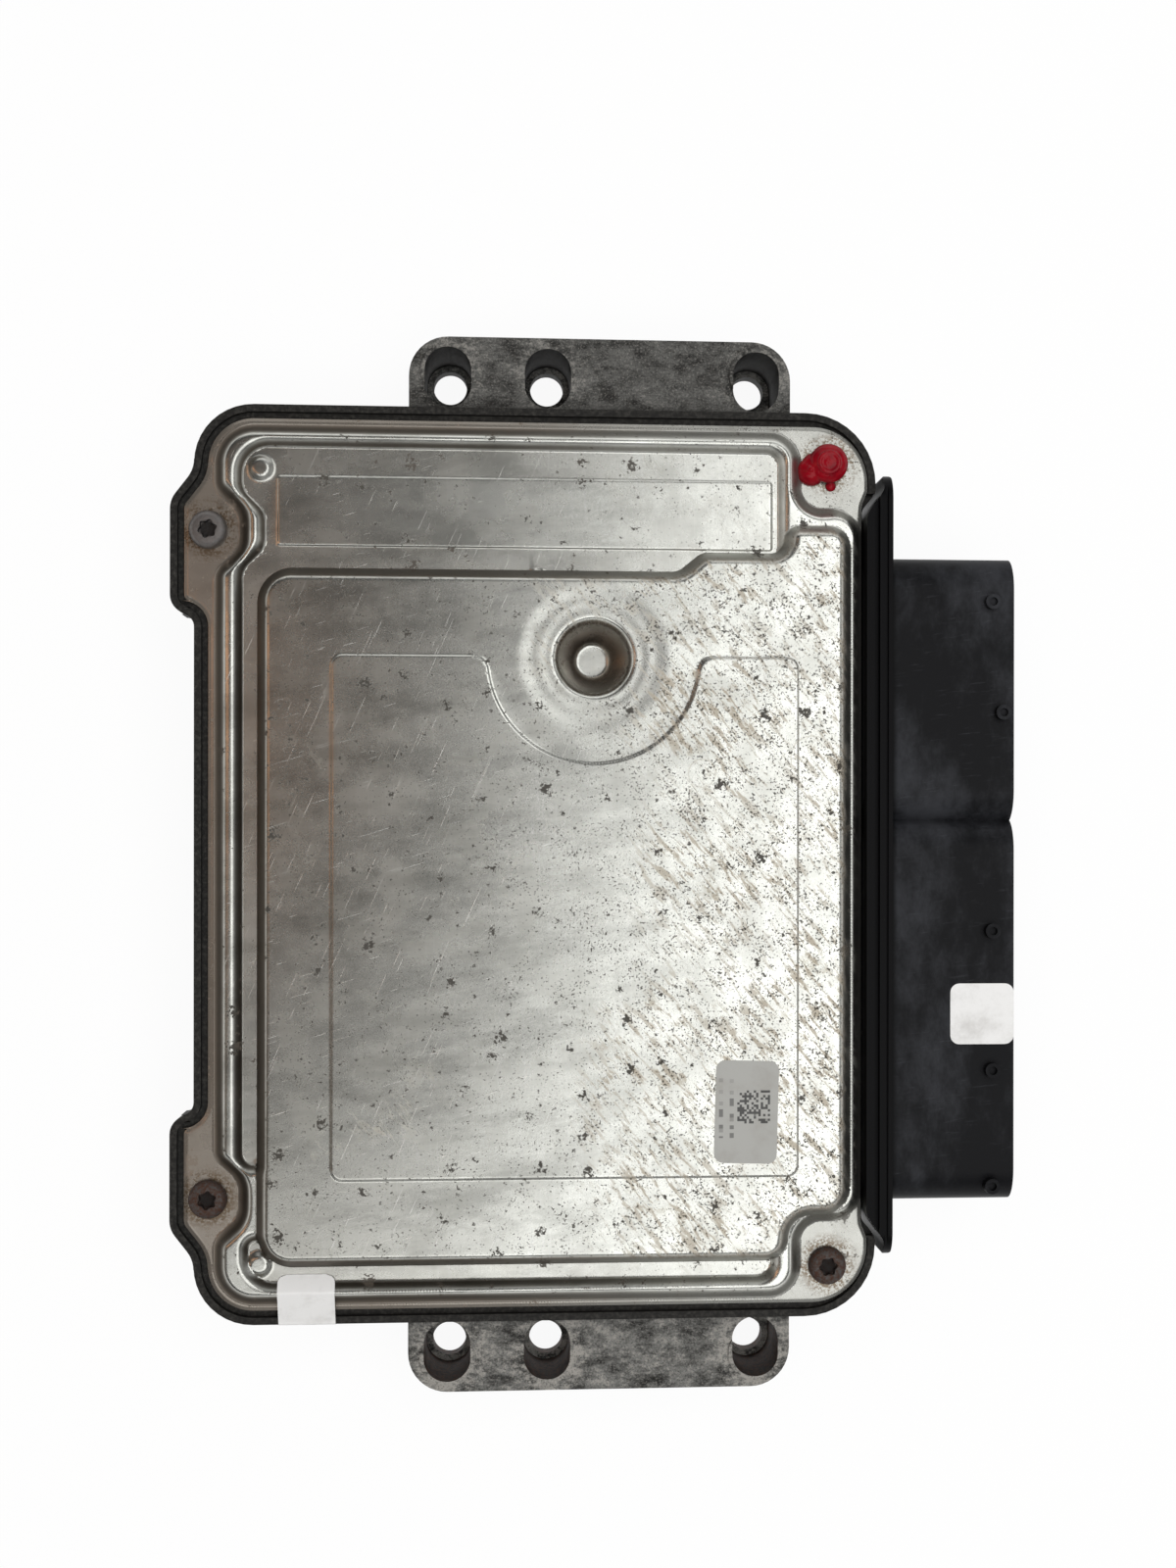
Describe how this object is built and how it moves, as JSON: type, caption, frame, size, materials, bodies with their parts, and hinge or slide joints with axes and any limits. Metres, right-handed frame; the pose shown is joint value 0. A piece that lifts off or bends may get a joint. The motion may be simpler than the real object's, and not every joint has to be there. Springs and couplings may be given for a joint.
{
  "type": "engine control unit",
  "caption": "Engine control unit: die-cast case with bolt lugs, pressed metal cover with stepped fields, and a black connector header with two plug sockets.",
  "frame": {"origin": "middle of the part's outline, on the plane of its underside", "axes": "+Z out of the cover, +X out of the plug sockets, +Y towards the smaller socket"},
  "size_m": [0.165, 0.2094, 0.0351],
  "materials": {
    "cast_case": "dark, weathered die casting",
    "pressed_cover": "satin pressed sheet with stains and scratches",
    "header_plastic": "black moulded plastic, scuffed",
    "sealant": "cured sealing compound",
    "carrier_plastic": "black moulded plastic",
    "contact_metal": "tinned contact metal",
    "board_laminate": "green circuit board",
    "zinc_steel": "zinc-plated steel",
    "screw_steel": "rusted steel",
    "red_lacquer": "glossy red lacquer",
    "white_label": "plain white sticker",
    "grey_label": "plain grey sticker",
    "chip_plastic": "black moulded chip",
    "capacitor_can": "aluminium can",
    "ferrite": "ferrite core",
    "capacitor_ceramic": "ceramic chip",
    "thermal_rubber": "heat-conducting pad",
    "membrane": "white vent membrane"
  },
  "bodies": {
    "root": {"base_housing": "cast_case", "cover": "pressed_cover", "connector_header": "header_plastic", "cover_seal": "sealant", "header_seal": "sealant", "pin_carrier_small": "carrier_plastic", "pin_carrier_large": "carrier_plastic", "signal_pins_small": "contact_metal", "signal_pins_large": "contact_metal", "power_pins_large": "contact_metal", "circuit_board": "board_laminate", "board_screws": "zinc_steel", "cover_screws": "screw_steel", "tamper_seal": "red_lacquer", "edge_label": "white_label", "header_label": "white_label", "trace_label": "grey_label", "microcontroller": "chip_plastic", "flash_memory": "chip_plastic", "driver_chips": "chip_plastic", "power_transistors": "chip_plastic", "storage_capacitors": "capacitor_can", "boost_choke": "ferrite", "quartz": "zinc_steel", "pressure_sensor": "chip_plastic", "ceramic_capacitors": "capacitor_ceramic", "thermal_pads": "thermal_rubber", "vent_membrane": "membrane"}
  },
  "joints": []
}
